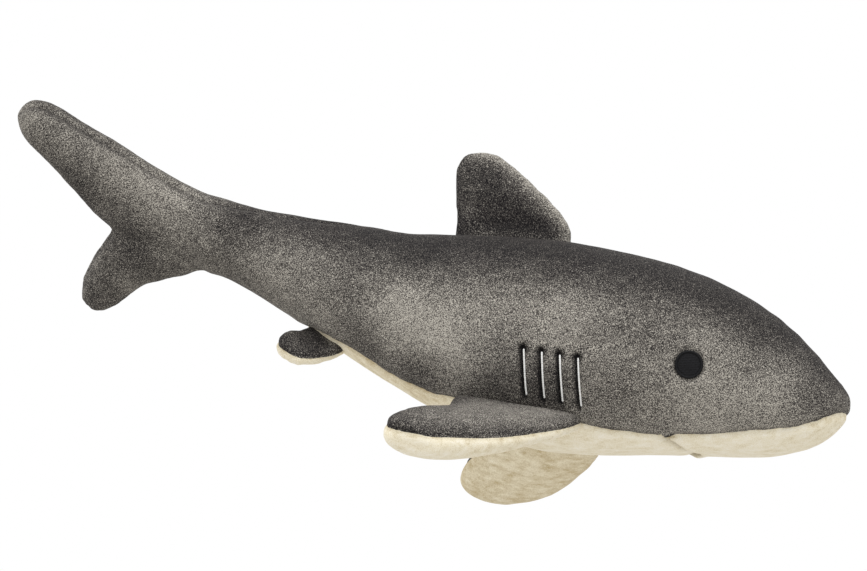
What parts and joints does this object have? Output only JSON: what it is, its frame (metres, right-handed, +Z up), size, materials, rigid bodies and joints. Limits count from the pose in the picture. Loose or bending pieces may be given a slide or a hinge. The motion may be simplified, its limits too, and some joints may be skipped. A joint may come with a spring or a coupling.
{
  "type": "plush shark",
  "caption": "Soft stuffed toy shark, grey back and cream belly in short-pile plush, with embroidered eyes and gills and soft flapping fins and tail.",
  "frame": {"origin": "on the standing plane, under the middle of the toy's box", "axes": "+X towards the nose, +Y to the shark's left side, +Z up through the dorsal fin"},
  "size_m": [0.3886, 0.1656, 0.1719],
  "materials": {
    "grey_plush": "short-pile polyester plush, warm grey, sheared and brushed, soft sheen",
    "cream_plush": "short-pile polyester plush, cream",
    "polyester_stuffing": "loose polyester fibre",
    "eye_embroidery": "black polyester embroidery thread, satin-stitched ring and filled centre",
    "gill_embroidery": "silver-white rayon embroidery thread, narrow satin stitch",
    "backing_fleece": "white non-woven backing",
    "seam_thread": "spun polyester sewing thread"
  },
  "bodies": {
    "trunk": {"right_side_panel": "grey_plush", "left_side_panel": "grey_plush", "snout_panel": "cream_plush", "belly_panel": "cream_plush", "body_stuffing": "polyester_stuffing", "right_eye": "eye_embroidery", "left_eye": "eye_embroidery", "right_eye_backing": "backing_fleece", "left_eye_backing": "backing_fleece", "right_gill_stitches": "gill_embroidery", "left_gill_stitches": "gill_embroidery", "back_seam_thread": "seam_thread", "right_belly_seam_thread": "seam_thread", "left_belly_seam_thread": "seam_thread"},
    "tail": {"right_tail_panel": "grey_plush", "left_tail_panel": "grey_plush", "tail_stuffing": "polyester_stuffing"},
    "dorsal_fin": {"right_dorsal_panel": "grey_plush", "left_dorsal_panel": "grey_plush", "dorsal_stuffing": "polyester_stuffing"},
    "right_pectoral_fin": {"right_pectoral_bottom_panel": "cream_plush", "right_pectoral_top_panel": "grey_plush", "right_pectoral_stuffing": "polyester_stuffing"},
    "left_pectoral_fin": {"left_pectoral_bottom_panel": "cream_plush", "left_pectoral_top_panel": "grey_plush", "left_pectoral_stuffing": "polyester_stuffing"},
    "right_pelvic_fin": {"right_pelvic_bottom_panel": "cream_plush", "right_pelvic_top_panel": "grey_plush", "right_pelvic_stuffing": "polyester_stuffing"},
    "left_pelvic_fin": {"left_pelvic_top_panel": "grey_plush", "left_pelvic_bottom_panel": "cream_plush", "left_pelvic_stuffing": "polyester_stuffing"}
  },
  "joints": [
    {"name": "tail_sway", "type": "hinge", "parent": "trunk", "child": "tail", "pos_m": [-0.09067, 0, 0.11505], "axis": [0, 0, 1], "range_deg": [-30, 30], "stiffness_Nm_per_rad": 0.15},
    {"name": "dorsal_lean", "type": "hinge", "parent": "trunk", "child": "dorsal_fin", "pos_m": [0.03833, -0.00071, 0.11199], "axis": [0.9983, 0.0245, -0.0527], "range_deg": [-30, 30], "stiffness_Nm_per_rad": 0.03},
    {"name": "right_pectoral_flap", "type": "hinge", "parent": "trunk", "child": "right_pectoral_fin", "pos_m": [0.04933, -0.02088, 0.03108], "axis": [0.9845, -0.0599, -0.165], "range_deg": [-30, 25], "stiffness_Nm_per_rad": 0.12},
    {"name": "left_pectoral_flap", "type": "hinge", "parent": "trunk", "child": "left_pectoral_fin", "pos_m": [0.04933, 0.02088, 0.03108], "axis": [-0.9845, -0.0599, 0.165], "range_deg": [-30, 25], "stiffness_Nm_per_rad": 0.12},
    {"name": "right_pelvic_flap", "type": "hinge", "parent": "trunk", "child": "right_pelvic_fin", "pos_m": [-0.04517, -0.00321, 0.06567], "axis": [0.8334, -0.2556, -0.49], "range_deg": [-22, 20], "stiffness_Nm_per_rad": 0.01},
    {"name": "left_pelvic_flap", "type": "hinge", "parent": "trunk", "child": "left_pelvic_fin", "pos_m": [-0.04517, 0.01794, 0.07209], "axis": [-0.8478, -0.0713, 0.5255], "range_deg": [-22, 20], "stiffness_Nm_per_rad": 0.01}
  ]
}
